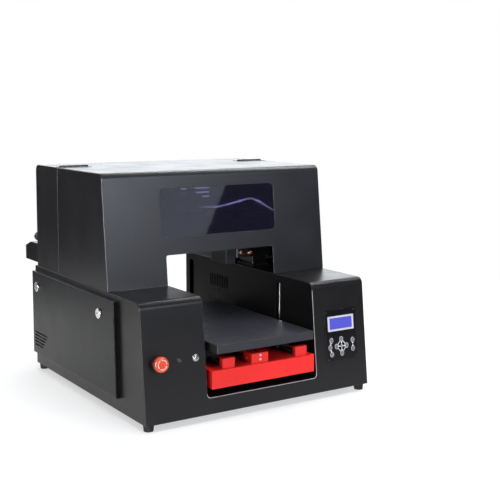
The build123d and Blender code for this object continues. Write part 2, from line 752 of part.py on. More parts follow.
with BuildPart() as y_motor:
    with BuildSketch(Plane.YZ.offset(2.6)):
        with Locations((back(Y_DRIVE), BELT_Z)):
            RectangleRounded(35, 35, 3)
    extrude(amount=35.3)
finish_part("y_motor", y_motor.part)

# ---------------------------------------------------------------- table
with BuildPart() as table_top:
    table_bottom = TABLE_TOP - TABLE_H
    with BuildSketch(Plane.XY.offset(table_bottom)):
        with Locations((0, back(TABLE_FRONT + TABLE_L / 2))):
            RectangleRounded(TABLE_W, TABLE_L, 3)
    extrude(amount=TABLE_H)
    fillet(table_top.faces().sort_by(Axis.Z)[-1].edges(), 1.8)
    with BuildSketch(Plane.XY.offset(table_bottom)):
        with Locations((0, back(TABLE_FRONT + TABLE_L / 2))):
            Rectangle(TABLE_W - 6, TABLE_L - 6)
    extrude(amount=TABLE_H - 3, mode=Mode.SUBTRACT)
finish_part("table_top", table_top.part)

BASE_MID = 202.5          # middle of the table's carrier, behind the front edge
with BuildPart() as table_base:
    with BuildSketch(Plane.XY.offset(155)):
        with Locations((0, back(BASE_MID))):
            RectangleRounded(272, 240, 6)
            RectangleRounded(150, 150, 8, mode=Mode.SUBTRACT)
        with Locations((BELT_X, back(BASE_MID))):
            Rectangle(30, 160)
    extrude(amount=8)
    with BuildSketch(Plane.XY.offset(163)):
        with Locations((0, back(BASE_MID))):
            with GridLocations(2 * RAIL_X, 0, 2, 1):
                Rectangle(24, 220)
    extrude(amount=TABLE_TOP - 3 - 163)
    # bearing blocks astride the rails
    for y in (BASE_MID - 92.5, BASE_MID + 92.5):
        with BuildSketch(Plane.XZ.offset(-back(y - 25))):
            for side in (-1, 1):
                with Locations((side * RAIL_X, 143)):
                    Rectangle(34, 24)
                with Locations((side * RAIL_X, 135)):
                    Rectangle(15 + 2 * GAP, 2 * (TRAY_TOP + 13 + GAP - 135), mode=Mode.SUBTRACT)
        extrude(amount=-50)
    # belt clamp
    with BuildSketch(Plane.XY.offset(155)):
        with Locations((BELT_X, back(BASE_MID))):
            Rectangle(16, 24)
    extrude(amount=-(155 - BELT_Z - PULLEY_R - BELT_T - 2 * GAP))
finish_part("table_base", table_base.part)

# ---------------------------------------------------------------- carriage beam and drive
with BuildPart() as x_beam:
    beam_y = back(BEAM_Y)
    with BuildSketch(Plane.YZ):
        with Locations((beam_y + BEAM_SIZE[0] / 2, BEAM_Z + BEAM_SIZE[1] / 2)):
            RectangleRounded(*BEAM_SIZE, 3)
            Rectangle(BEAM_SIZE[0] - 6, BEAM_SIZE[1] - 6, mode=Mode.SUBTRACT)
    extrude(amount=338, both=True)
    for side in (-1, 1):
        with BuildSketch(Plane.XY.offset(TOWER_TOP)):
            with Locations((side * 300, beam_y + BEAM_SIZE[0] / 2)):
                Rectangle(70, 38)
        extrude(amount=5)
        with BuildSketch(Plane.XY.offset(TOWER_TOP)):
            with Locations((side * 300, beam_y + BEAM_SIZE[0] / 2)):
                Rectangle(30, 34)
        extrude(amount=BEAM_Z - TOWER_TOP + 1)
    # round-edged guide rail on the front face
    with BuildSketch(Plane.YZ):
        with Locations((beam_y - 5.5, BEAM_Z + 24)):
            Rectangle(12, 12)
        for edge in (-1, 1):
            with Locations((beam_y - 6.5, BEAM_Z + 24 + edge * 6.8)):
                Circle(2.2, mode=Mode.SUBTRACT)
    extrude(amount=325, both=True)
finish_part("x_beam", x_beam.part)

with BuildPart() as x_motor:
    with BuildSketch(Plane.XY.offset(X_BELT_Z + BELT_W + 3)):
        with Locations((X_DRIVE, back(X_BELT_Y))):
            RectangleRounded(40, 40, 4)
    extrude(amount=38)
    with BuildSketch(Plane.XY.offset(BEAM_Z + BEAM_SIZE[1])):
        with Locations((X_DRIVE, back(X_BELT_Y) + 17.5)):
            Rectangle(34, 3)
    extrude(amount=X_BELT_Z + BELT_W + 3 - BEAM_Z - BEAM_SIZE[1])
finish_part("x_motor", x_motor.part)


def beam_belt_plane(x):
    """The carriage belt's plane at x."""
    return Plane(origin=(x, back(X_BELT_Y), X_BELT_Z + BELT_W / 2))


finish_part("x_pulley", toothed_pulley(beam_belt_plane(X_DRIVE), 2.5, -5.5, 6.7))
finish_part("x_idler", toothed_pulley(beam_belt_plane(X_IDLER), 2.5, -6.7, 8))
finish_part("x_belt", belt_loop(beam_belt_plane(X_DRIVE), X_IDLER - X_DRIVE))

# ---------------------------------------------------------------- carriage
CARRIAGE_Y = (335.0, 430.0)
CARRIAGE_Z = (345.0, 452.0)
with BuildPart() as print_carriage:
    carriage_w = CARRIAGE_X[1] - CARRIAGE_X[0]
    carriage_d = CARRIAGE_Y[1] - CARRIAGE_Y[0]
    carriage_mid = (sum(CARRIAGE_X) / 2, back(sum(CARRIAGE_Y) / 2))
    with BuildSketch(Plane.XY.offset(CARRIAGE_Z[0])):
        with Locations(carriage_mid):
            RectangleRounded(carriage_w, carriage_d, 6)
    extrude(amount=CARRIAGE_Z[1] - CARRIAGE_Z[0])
    fillet(print_carriage.faces().sort_by(Axis.Z)[-1].edges(), 3)
    with BuildSketch(Plane.XY.offset(CARRIAGE_Z[0])):
        with Locations(carriage_mid):
            Rectangle(carriage_w - 8, carriage_d - 8)
    extrude(amount=CARRIAGE_Z[1] - CARRIAGE_Z[0] - 4, mode=Mode.SUBTRACT)
    # bearing astride the rail
    with BuildSketch(Plane.YZ.offset(CARRIAGE_X[0] + 15)):
        with Locations((back(438.3), BEAM_Z + 24)):
            Rectangle(17.4, 28)
        with Locations((back(446.2), BEAM_Z + 24)):
            Rectangle(2 * (446.2 - 438.5 + GAP), 12 + 2 * GAP, mode=Mode.SUBTRACT)
    extrude(amount=carriage_w - 30)
    # arm to the belt
    with BuildSketch(Plane.YZ.offset(sum(CARRIAGE_X) / 2 - 12)):
        with Locations((back(432), 455)):
            Rectangle(8, 32)
        with Locations((back(438.35), X_BELT_Z + 4)):
            Rectangle(16.7, BELT_W)
    extrude(amount=24)
finish_part("print_carriage", print_carriage.part)

HEAD_BOTTOM = 325.0
with BuildPart() as print_head:
    with BuildSketch(Plane.XY.offset(CARRIAGE_Z[0])):
        with Locations((200, back(382))):
            Rectangle(72, 84)
    extrude(amount=14)
    with BuildSketch(Plane.XY.offset(HEAD_BOTTOM)):
        with Locations((212, back(382))):
            RectangleRounded(46, 70, 2)
    extrude(amount=CARRIAGE_Z[0] - HEAD_BOTTOM)
finish_part("print_head", print_head.part)

with BuildPart() as uv_lamp:
    lamp_w = CARRIAGE_X[0] - LAMP_X
    with BuildSketch(Plane.XY.offset(329)):
        with Locations((LAMP_X + lamp_w / 2, back(382))):
            RectangleRounded(lamp_w, 84, 3)
    extrude(amount=96)
    fillet(uv_lamp.faces().sort_by(Axis.Z)[-1].edges(), 1.5)
    # cooling fins cut into its left side
    with BuildSketch(Plane.XZ.offset(-back(335))):
        with Locations((LAMP_X, 392)):
            with GridLocations(0, 7, 1, 7):
                Rectangle(18, 3)
    extrude(amount=-100, mode=Mode.SUBTRACT)
finish_part("uv_lamp", uv_lamp.part)

with BuildPart() as cap_station:
    with BuildSketch(Plane.XY.offset(TOWER_TOP)):
        with Locations((212, back(382))):
            Rectangle(58, 82)
    extrude(amount=7)
    with BuildSketch(Plane.XY.offset(TOWER_TOP + 7)):
        with Locations((212, back(382))):
            RectangleRounded(42, 60, 4)
            RectangleRounded(36, 54, 3, mode=Mode.SUBTRACT)
    extrude(amount=HEAD_BOTTOM - TOWER_TOP - 7 - GAP)
finish_part("cap_station", cap_station.part)

# ---------------------------------------------------------------- ink supply and electronics
with BuildPart() as ink_bottles:
    shelf = ARCH_TOP + SHEET
    with BuildSketch(Plane.XY.offset(shelf)):
        with Locations((0, back(620))):
            with GridLocations(54, 0, 6, 1):
                RectangleRounded(46, 74, 8)
    extrude(amount=118)
    with BuildSketch(Plane.XY.offset(shelf + 118)):
        with Locations((0, back(620))):
            with GridLocations(54, 0, 6, 1):
                Circle(15)
    extrude(amount=16)
finish_part("ink_bottles", ink_bottles.part)

with BuildPart() as power_supply:
    with BuildSketch(Plane.XY.offset(BASE_BOTTOM + SHEET)):
        with Locations((-285, back(370))):
            Rectangle(98, 200)
    extrude(amount=50)
    fillet(power_supply.faces().sort_by(Axis.Z)[-1].edges(), 1.5)
    with BuildSketch(Plane.XY.offset(BASE_BOTTOM + SHEET + 50)):
        with Locations((-285, back(370))):
            with GridLocations(8, 0, 9, 1):
                SlotOverall(150, 4, rotation=90)
    extrude(amount=-2, mode=Mode.SUBTRACT)
finish_part("power_supply", power_supply.part)

with BuildPart() as main_board:
    board_z = BASE_BOTTOM + SHEET
    with BuildSketch(Plane.XY.offset(board_z)):
        with Locations((285, back(400))):
            with GridLocations(80, 220, 2, 2):
                Circle(3)
    extrude(amount=8)
    with BuildSketch(Plane.XY.offset(board_z + 8)):
        with Locations((285, back(400))):
            RectangleRounded(94, 240, 3)
    extrude(amount=1.6)
    for x, y, w, d, h in (
        (265, 340, 30, 30, 5),
        (300, 340, 24, 40, 4),
        (262, 420, 34, 24, 10),
        (305, 430, 26, 50, 14),
        (285, 500, 80, 14, 12),
        (285, 292, 84, 12, 10),
    ):
        with BuildSketch(Plane.XY.offset(board_z + 9.6)):
            with Locations((x, back(y))):
                Rectangle(w, d)
        extrude(amount=h)
finish_part("main_board", main_board.part)

# ---------------------------------------------------------------- files
os.makedirs("parts", exist_ok=True)
for part in finished:
    export_step(part, f"parts/{part.label}.step")
print(len(finished), "pieces")
whole = Compound(children=finished).bounding_box()
print("box", whole.min, whole.max)
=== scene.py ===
"""Looks of the flatbed UV printer: materials, fine pieces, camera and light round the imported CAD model."""
from math import cos, pi, radians, sin, tan, tau

import bmesh
import bpy
from mathutils import Matrix, Vector


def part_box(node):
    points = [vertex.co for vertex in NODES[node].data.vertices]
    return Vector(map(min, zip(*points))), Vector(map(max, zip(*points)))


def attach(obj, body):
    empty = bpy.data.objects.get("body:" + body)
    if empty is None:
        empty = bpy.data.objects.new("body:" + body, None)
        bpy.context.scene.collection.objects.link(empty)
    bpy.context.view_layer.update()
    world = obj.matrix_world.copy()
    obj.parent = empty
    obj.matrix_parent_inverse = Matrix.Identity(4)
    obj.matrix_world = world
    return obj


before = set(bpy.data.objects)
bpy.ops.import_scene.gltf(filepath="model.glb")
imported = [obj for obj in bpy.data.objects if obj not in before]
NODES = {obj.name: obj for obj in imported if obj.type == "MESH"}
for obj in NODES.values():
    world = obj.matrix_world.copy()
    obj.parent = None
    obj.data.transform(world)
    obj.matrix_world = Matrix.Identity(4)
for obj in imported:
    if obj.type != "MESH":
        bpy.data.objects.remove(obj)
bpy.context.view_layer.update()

MM = 0.001
RIGHT, BACK, UP = Vector((1, 0, 0)), Vector((0, 1, 0)), Vector((0, 0, 1))
LEAN = radians(5.95)                       # the front faces lean back by this
FACE_OUT = Vector((0, -cos(LEAN), sin(LEAN)))
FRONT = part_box("base_shell")[0].y          # the base's lower front edge
TOWER_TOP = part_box("base_shell")[1].z


# ---------------------------------------------------------------- places
def middle(node):
    """Middle of a CAD node's box."""
    low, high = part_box(node)
    return (low + high) / 2


def placed(origin, normal, along=RIGHT):
    """A matrix whose z is the normal, whose x is nearest to along, at the origin."""
    z = Vector(normal).normalized()
    x = (Vector(along) - z * z.dot(Vector(along))).normalized()
    turn = Matrix((x, z.cross(x), z)).transposed().to_4x4()
    return Matrix.Translation(origin) @ turn


def moved(matrix, x=0.0, y=0.0, z=0.0):
    """The same matrix, moved along its own axes."""
    return matrix @ Matrix.Translation((x, y, z))


def outer_face(node, normal):
    """A matrix on the middle of the node's outermost flat face in that direction."""
    points = [v.co for v in NODES[node].data.vertices]
    reach = max(p.dot(normal) for p in points)
    rim = [p for p in points if p.dot(normal) > reach - 0.05 * MM]
    low = Vector(min(p[i] for p in rim) for i in range(3))
    high = Vector(max(p[i] for p in rim) for i in range(3))
    return placed((low + high) / 2, normal)


def face_point(x, z, out=0.0):
    """A point on the towers' leaning front face, at x and z."""
    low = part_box("base_shell")[0]
    return Vector((x, low.y + (z - low.z) * tan(LEAN), z)) + FACE_OUT * out


def smooth_path(stops, steps=8):
    """A smooth curve through all the stops (a Catmull-Rom spline)."""
    stops = [2 * stops[0] - stops[1]] + stops + [2 * stops[-1] - stops[-2]]
    path = []
    for a, b, c, d in zip(stops, stops[1:], stops[2:], stops[3:]):
        for t in (k / steps for k in range(steps)):
            path.append(0.5 * (2 * b + (c - a) * t + (2 * a - 5 * b + 4 * c - d) * t ** 2
                               + (3 * b - a - 3 * c + d) * t ** 3))
    return path + [stops[-2]]


# ---------------------------------------------------------------- outlines
def oval(half_w, half_h, z=0.0, count=40):
    """Points round an oval at height z."""
    return [(half_w * cos(tau * i / count), half_h * sin(tau * i / count), z) for i in range(count)]


def circle(radius, z=0.0, count=24):
    """Points round a circle at height z."""
    return oval(radius, radius, z, count)


def hexagon(across, z, count=24):
    """Points round a hexagon of that size across its flats, at height z."""
    ring = []
    for i in range(count):
        angle = tau * i / count
        radius = across / 2 / cos(angle % (pi / 3) - pi / 6)
        ring.append((radius * cos(angle), radius * sin(angle), z))
    return ring


def rounded_rectangle(width, height, radius, steps=3):
    """Outline of a rectangle with round corners, about the origin."""
    points = []
    for k, (sx, sy) in enumerate(((1, 1), (-1, 1), (-1, -1), (1, -1))):
        cx, cy = sx * (width / 2 - radius), sy * (height / 2 - radius)
        for i in range(steps + 1):
            angle = k * pi / 2 + (pi / 2) * i / steps
            points.append((cx + radius * cos(angle), cy + radius * sin(angle)))
    return points


# ---------------------------------------------------------------- meshes
def new_object(name, bm, material):
    """Puts a bmesh into the scene as an object of that material."""
    mesh = bpy.data.meshes.new(name)
    bm.to_mesh(mesh)
    bm.free()
    mesh.materials.append(material)
    obj = bpy.data.objects.new(name, mesh)
    bpy.context.scene.collection.objects.link(obj)
    return obj


def piece(name, bm, body, material, sharp_deg=40):
    """Puts a bmesh into the scene as a piece that rides on a body, smooth except across sharp edges."""
    bmesh.ops.recalc_face_normals(bm, faces=bm.faces[:])
    for face in bm.faces:
        face.smooth = True
    for edge in bm.edges:
        if len(edge.link_faces) == 2:
            edge.smooth = edge.calc_face_angle(0) < radians(sharp_deg)
    obj = new_object(name, bm, material)
    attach(obj, body)


def add_rings(bm, rings, matrix, endless=False):
    """Skins a row of rings of points. Its two ends are closed, or joined when it is endless."""
    loops = [[bm.verts.new(matrix @ Vector(p)) for p in ring] for ring in rings]
    for first, second in zip(loops, loops[1:] + loops[:1] if endless else loops[1:]):
        for i in range(len(first)):
            j = (i + 1) % len(first)
            bm.faces.new((first[i], first[j], second[j], second[i]))
    if not endless:
        bm.faces.new(loops[0][::-1])
        bm.faces.new(loops[-1])


def add_plate(bm, outline, thickness, matrix, bevel=0.0):
    """A flat plate with that outline, standing on the matrix's plane, with a bevelled upper rim."""
    points = [Vector(p).xy for p in outline]
    centre = sum(points, Vector((0, 0))) / len(points)

    def ring(z, shrink=0.0):
        shrunk = [p + (centre - p).normalized() * shrink for p in points]
        return [(p.x, p.y, z) for p in shrunk]

    if bevel:
        add_rings(bm, [ring(0), ring(thickness - bevel), ring(thickness, bevel)], matrix)
    else:
        add_rings(bm, [ring(0), ring(thickness)], matrix)


def add_strip(bm, start, end, start_width, end_width, thickness, matrix):
    """A straight flat strip on the matrix's plane, which ends in a point when its end width is 0."""
    start, end = Vector(start), Vector(end)
    way = (end - start).normalized()
    side = Vector((-way.y, way.x)) / 2
    outline = [start + side * start_width, start - side * start_width]
    outline += [end - side * end_width, end + side * end_width] if end_width else [end]
    add_plate(bm, outline, thickness, matrix)


def add_band(bm, inner, outer, thickness, matrix, start=0.0, end=tau, steps=24):
    """A flat ring on the matrix's plane, or a part of one between two angles in radians."""
    whole = end - start > tau - 1e-6
    rings = []
    for i in range(steps if whole else steps + 1):
        angle = start + (end - start) * i / steps
        c, s = cos(angle), sin(angle)
        rings.append([(inner * c, inner * s, 0), (outer * c, outer * s, 0),
                      (outer * c, outer * s, thickness), (inner * c, inner * s, thickness)])
    add_rings(bm, rings, matrix, endless=whole)


def add_oval_band(bm, half_w, half_h, width, thickness, matrix):
    """A flat oval ring on the matrix's plane, outside an oval of that half width and half height."""
    sections = ((0, 0), (width, 0), (width, thickness), (0, thickness))
    add_rings(bm, [oval(half_w + grow, half_h + grow, z) for grow, z in sections], matrix, endless=True)


def add_screw(bm, matrix, radius):
    """A button-head screw with a hexagon socket, its head standing on the matrix's plane."""
    height, socket, dome = 0.62 * radius, 0.95 * radius, 0.95
    rings = [circle(radius, -0.3 * MM)]
    for angle in (dome * k / 4 for k in range(5)):
        rings.append(circle(radius * cos(angle), height * sin(angle) / sin(dome)))
    for across, z in ((socket, height), (0.97 * socket, 0.4 * height), (0.2 * socket, 0.3 * height)):
        rings.append(hexagon(across, z))
    add_rings(bm, rings, matrix)


def screws(name, places, radius, body, material):
    """A group of equal screws as one piece."""
    bm = bmesh.new()
    for place in places:
        add_screw(bm, place, radius)
    piece(name, bm, body, material, 35)


def tube(name, path, radius, count, material):
    """A round piece along a path of points, fixed to the machine's frame."""
    rings = []
    side = RIGHT
    for i, point in enumerate(path):
        way = (path[min(i + 1, len(path) - 1)] - path[max(i - 1, 0)]).normalized()
        side = (side - way * side.dot(way)).normalized()
        up = way.cross(side)
        rings.append([point + side * x + up * y for x, y, z in circle(radius, 0, count)])
    bm = bmesh.new()
    add_rings(bm, rings, Matrix.Identity(4))
    piece(name, bm, "root", material)


# ---------------------------------------------------------------- materials
class Nodes:
    """A node tree, with short calls for the nodes that the looks and the world share."""

    def __init__(self, tree, coordinates):
        self.tree = tree
        self.place = self.node("ShaderNodeTexCoord").outputs[coordinates]

    def node(self, kind, **settings):
        """A new node of that kind with those settings."""
        made = self.tree.nodes.new(kind)
        for key, value in settings.items():
            setattr(made, key, value)
        return made

    def join(self, source, target):
        """Joins an output to an input."""
        self.tree.links.new(source, target)

    def feed(self, sockets, values):
        """Joins each value to its socket, or sets it there when it is a constant."""
        for socket, value in zip(sockets, values):
            if isinstance(value, bpy.types.NodeSocket):
                self.join(value, socket)
            else:
                socket.default_value = value

    def axis(self, letter):
        """One of the coordinates."""
        made = self.node("ShaderNodeSeparateXYZ")
        self.join(self.place, made.inputs[0])
        return made.outputs[letter]

    def calc(self, operation, *values):
        """The result of one operation on numbers."""
        made = self.node("ShaderNodeMath", operation=operation)
        self.feed(made.inputs, values)
        return made.outputs[0]

    def dot(self, first, second):
        """The dot product of two vectors."""
        made = self.node("ShaderNodeVectorMath", operation="DOT_PRODUCT")
        self.feed(made.inputs, (first, second))
        return made.outputs["Value"]

    def spread(self, value, low, high, start=0.0, end=1.0, curve="LINEAR"):
        """Value between start and end, moved to low and high."""
        made = self.node("ShaderNodeMapRange", interpolation_type=curve)
        sockets = [made.inputs[k] for k in ("Value", "From Min", "From Max", "To Min", "To Max")]
        self.feed(sockets, (value, start, end, low, high))
        return made.outputs["Result"]

    def mix(self, factor, first, second):
        """A mix of two colours."""
        made = self.node("ShaderNodeMix", data_type="RGBA")
        self.feed((made.inputs["Factor"], made.inputs[6], made.inputs[7]), (factor, first, second))
        return made.outputs[2]


class Look(Nodes):
    """A material with a principled shader."""

    def __init__(self, name, round_edges=0.0, **sockets):
        self.material = bpy.data.materials.new(name)
        self.material.use_nodes = True
        super().__init__(self.material.node_tree, "Object")
        self.shader = self.tree.nodes["Principled BSDF"]
        for socket, value in sockets.items():
            self.shader.inputs[socket.replace("_", " ")].default_value = value
        self.normal = None
        if round_edges:
            self.normal = self.rounded(round_edges, 6)
            self.join(self.normal, self.shader.inputs["Normal"])

    def rounded(self, radius, samples):
        """The normal as it would be with edges of that radius."""
        bevel = self.node("ShaderNodeBevel", samples=samples)
        bevel.inputs["Radius"].default_value = radius
        return bevel.outputs[0]

    def edges(self, radius):
        """1 on sharp edges and 0 on flat stretches."""
        flat = self.node("ShaderNodeNewGeometry").outputs["Normal"]
        return self.spread(self.dot(self.rounded(radius, 4), flat), 1, 0, 0.8, 0.995)

    def stretched(self, scale):
        """The object's coordinates, scaled by three numbers."""
        mapping = self.node("ShaderNodeMapping")
        mapping.inputs["Scale"].default_value = scale
        self.join(self.place, mapping.inputs["Vector"])
        return mapping.outputs["Vector"]

    def noise(self, scale, detail=3.0, rough=0.55, vector=None):
        """Cloudy noise between 0 and 1, with that many clouds to a metre."""
        made = self.node("ShaderNodeTexNoise")
        sockets = [made.inputs[k] for k in ("Vector", "Scale", "Detail", "Roughness")]
        self.feed(sockets, (vector or self.place, scale, detail, rough))
        return made.outputs["Fac"]

    def cells(self, scale, output, **settings):
        """A pattern of cells, with that many to a metre."""
        made = self.node("ShaderNodeTexVoronoi", **settings)
        made.inputs["Scale"].default_value = scale
        self.join(self.place, made.inputs["Vector"])
        return made.outputs[output]

    def bump(self, height, distance, strength=1.0):
        """Adds relief of that height to what the look has already."""
        made = self.node("ShaderNodeBump")
        made.inputs["Strength"].default_value = strength
        made.inputs["Distance"].default_value = distance
        self.join(height, made.inputs["Height"])
        if self.normal is not None:
            self.join(self.normal, made.inputs["Normal"])
        self.normal = made.outputs["Normal"]
        self.join(self.normal, self.shader.inputs["Normal"])

    def colour(self, value):
        """Drives the base colour."""
        self.join(value, self.shader.inputs["Base Color"])

    def rough(self, value):
        """Drives the roughness."""
        self.join(value, self.shader.inputs["Roughness"])


def shade(colour, factor):
    """A lighter or darker version of a colour."""
    return tuple(min(1.0, c * factor) for c in colour[:3]) + (1.0,)


def powder_coat(name, colour, rough=0.42, specular=0.5, edge_wear_and_highlight=0.5):
    """Powder-coated steel: fine orange peel, faint clouds, a few dust specks, and patchy lighter edges that
    are partly wear of the coat and partly a painted highlight.
    """
    look = Look(name, round_edges=0.0014, Specular_IOR_Level=specular)
    clouds = look.noise(6, 4)
    tone = look.mix(look.spread(clouds, 0, 1, 0.3, 0.7), shade(colour, 0.9), shade(colour, 1.12))
    specks = look.spread(look.noise(1400, 1), 0, 1, 0.76, 0.84)
    dusty = look.mix(look.calc("MULTIPLY", specks, 0.3), tone, shade(colour, 3.0))
    # The edges are painted lighter in patches: partly wear of the coat, partly a painted highlight along the
    # bends and edges.
    worn_and_highlit = look.calc("MULTIPLY", look.edges(0.0008), edge_wear_and_highlight)
    patchy_wear_and_highlight = look.calc("MULTIPLY", worn_and_highlit, look.spread(look.noise(60, 5), 0.35, 1, 0.35, 0.6))
    bare_metal_and_highlight = (0.30, 0.31, 0.33, 1)
    look.colour(look.mix(patchy_wear_and_highlight, dusty, bare_metal_and_highlight))
    look.rough(look.spread(look.noise(14, 5), rough - 0.03, rough + 0.04, 0.3, 0.7))
    look.bump(look.noise(620, 2, 0.6), 0.00008, 0.4)
    look.bump(look.noise(2600, 2, 0.7), 0.00003, 0.4)
    return look.material


def anodised(name, colour):
    """Blasted and black-anodised aluminium, lightly scuffed along the way that prints slide off."""
    look = Look(name, round_edges=0.0012, Specular_IOR_Level=0.4)
    tone = look.mix(look.noise(5, 5), shade(colour, 0.85), shade(colour, 1.2))
    scuffs = look.spread(look.noise(34, 6, 0.7, look.stretched((14, 1, 6))), 0, 1, 0.62, 0.78)
    rubbed = look.mix(look.calc("MULTIPLY", scuffs, 0.35), tone, shade(colour, 2.0))
    bright = look.calc("MULTIPLY", look.edges(0.0008), 0.55)
    look.colour(look.mix(bright, rubbed, shade(colour, 5)))
    look.rough(look.spread(look.noise(26, 5), 0.42, 0.58, 0.3, 0.7))
    look.bump(look.noise(3800, 2, 0.8), 0.00003, 0.6)
    return look.material


def moulded(name, colour, rough=0.38, grain=0.00003, specular=0.5, coat=0.0):
    """Moulded plastic with a fine grain and slightly polished high spots."""
    look = Look(name, round_edges=0.0005, Specular_IOR_Level=specular, Coat_Weight=coat,
                Coat_Roughness=0.08)
    look.colour(look.mix(look.noise(40, 4), shade(colour, 0.92), shade(colour, 1.06)))
    look.rough(look.spread(look.noise(160, 4), rough - 0.05, rough + 0.07, 0.3, 0.7))
    look.bump(look.noise(2400, 2, 0.7), grain, 0.6)
    return look.material


def rubber(name, colour):
    """Matt rubber with chalky patches."""
    look = Look(name, Specular_IOR_Level=0.3)
    chalky = look.spread(look.noise(90, 5), 0, 1, 0.5, 0.8)
    look.colour(look.mix(chalky, shade(colour, 1.0), shade(colour, 2.4)))
    look.rough(look.spread(look.noise(300, 3), 0.68, 0.9, 0.3, 0.7))
    look.bump(look.noise(1500, 3, 0.7), 0.00006, 0.7)
    return look.material


def ribbed_belt(name, axis, pitch):
    """A rubber belt with cross ribs along one axis."""
    look = Look(name, Specular_IOR_Level=0.3)
    wave = look.calc("SINE", look.calc("MULTIPLY", look.axis(axis), tau / pitch))
    ribs = look.spread(wave, 0, 1, -0.4, 0.4)
    look.colour(look.mix(ribs, (0.008, 0.008, 0.009, 1), (0.03, 0.03, 0.032, 1)))
    look.rough(look.spread(look.noise(200, 3), 0.6, 0.8, 0.3, 0.7))
    look.bump(look.spread(wave, 0, 1, -1, 1), 0.0004, 0.8)
    return look.material


def metal(name, colour, rough=0.2, stretch=(1, 1, 1), grain=260, depth=0.00002):
    """Bare metal, ground or milled along one direction, with smudges."""
    look = Look(name, Metallic=1.0)
    lines = look.noise(grain, 4, 0.7, look.stretched(stretch))
    smudge = look.noise(24, 5, 0.6)
    smudged = look.spread(smudge, 0, 1, 0.35, 0.7)
    look.colour(look.mix(smudged, shade(colour, 0.86), shade(colour, 1.06)))
    ground = look.spread(lines, rough - 0.05, rough + 0.07, 0.3, 0.7)
    look.rough(look.calc("ADD", ground, look.spread(smudge, -0.03, 0.05, 0.3, 0.7)))
    look.bump(lines, depth, 0.5)
    return look.material


def threaded(name):
    """A lift screw: bright steel with the grooves of its thread."""
    look = Look(name, Metallic=1.0)
    pitch = 2 * MM
    rise = look.calc("SINE", look.calc("MULTIPLY", look.axis("Z"), tau / pitch))
    crests = look.spread(rise, 0, 1, -0.6, 0.6)
    look.colour(look.mix(crests, (0.30, 0.29, 0.27, 1), (0.62, 0.62, 0.62, 1)))
    look.rough(look.spread(look.noise(120, 4), 0.2, 0.4, 0.3, 0.7))
    look.bump(look.spread(rise, 0, 1, -1, 1), 0.0005, 0.9)
    return look.material


def tinted_acrylic(name):
    """Dark blue-violet acrylic, polished, with faint wiping marks."""
    look = Look(name, Transmission_Weight=0.85, IOR=1.45, Specular_IOR_Level=0.5,
                Base_Color=(0.055, 0.050, 0.110, 1))
    wipes = look.noise(30, 5, 0.65, look.stretched((1, 1, 4)))
    look.rough(look.spread(wipes, 0.015, 0.06, 0.4, 0.75))
    look.bump(look.noise(12, 2), 0.0002, 0.15)
    return look.material


def screen(name):
    """A lit blue character display: a grid of dots behind glass."""
    look = Look(name, Roughness=0.18, Emission_Strength=0.17)
    pitch = 0.9 * MM
    waves = [look.calc("SINE", look.calc("MULTIPLY", look.axis(a), pi / pitch)) for a in ("X", "Z")]
    dots = look.calc("MINIMUM", *(look.calc("ABSOLUTE", wave) for wave in waves))
    grid = look.spread(dots, 0, 1, 0.05, 0.4)
    glow = look.mix(look.noise(22, 3), (0.085, 0.09, 0.56, 1), (0.12, 0.125, 0.68, 1))
    lit = look.mix(grid, (0.07, 0.075, 0.47, 1), glow)
    look.colour(lit)
    look.join(lit, look.shader.inputs["Emission Color"])
    look.bump(look.noise(500, 2), 0.00001, 0.3)
    return look.material


def bottle(name):
    """Milky bottles with a different ink in each, told apart by their place along X."""
    look = Look(name, Roughness=0.3, Subsurface_Weight=0.15)
    inks = ((0.01, 0.25, 0.5, 1), (0.5, 0.02, 0.16, 1), (0.75, 0.6, 0.03, 1),
            (0.015, 0.015, 0.017, 1), (0.75, 0.75, 0.74, 1), (0.62, 0.62, 0.6, 1))
    low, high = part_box("ink_bottles")
    pitch = (high.x - low.x) / len(inks)
    shown = inks[0]
    for k, ink in enumerate(inks[1:], start=1):
        shown = look.mix(look.calc("GREATER_THAN", look.axis("X"), low.x + k * pitch), shown, ink)
    cap = look.calc("GREATER_THAN", look.axis("Z"), high.z - 16 * MM)
    look.colour(look.mix(cap, shown, (0.025, 0.025, 0.027, 1)))
    look.bump(look.noise(260, 3), 0.00005, 0.4)
    return look.material


def galvanised(name):
    """Zinc-coated sheet with its spangle."""
    look = Look(name, Metallic=1.0)
    grey = look.node("ShaderNodeRGBToBW")
    look.join(look.cells(160, "Color"), grey.inputs[0])
    spangle = grey.outputs[0]
    look.colour(look.mix(spangle, (0.42, 0.43, 0.44, 1), (0.62, 0.63, 0.64, 1)))
    look.rough(look.spread(spangle, 0.3, 0.5))
    look.bump(spangle, 0.00003, 0.4)
    return look.material


def circuit(name):
    """A lacquered circuit board with copper tracks, and dark parts above it."""
    look = Look(name)
    gaps = look.cells(90, "Distance", feature="DISTANCE_TO_EDGE", distance="CHEBYCHEV")
    tracks = look.spread(gaps, 1, 0, 0.02, 0.06)
    board = look.mix(tracks, (0.01, 0.07, 0.03, 1), (0.03, 0.2, 0.08, 1))
    parts = look.mix(look.noise(50, 2), (0.015, 0.015, 0.017, 1), (0.05, 0.05, 0.055, 1))
    above = look.calc("GREATER_THAN", look.axis("Z"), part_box("main_board")[0].z + 9.8 * MM)
    look.colour(look.mix(above, board, parts))
    look.rough(look.spread(look.noise(200, 3), 0.25, 0.45, 0.3, 0.7))
    look.bump(tracks, 0.00004, 0.5)
    return look.material


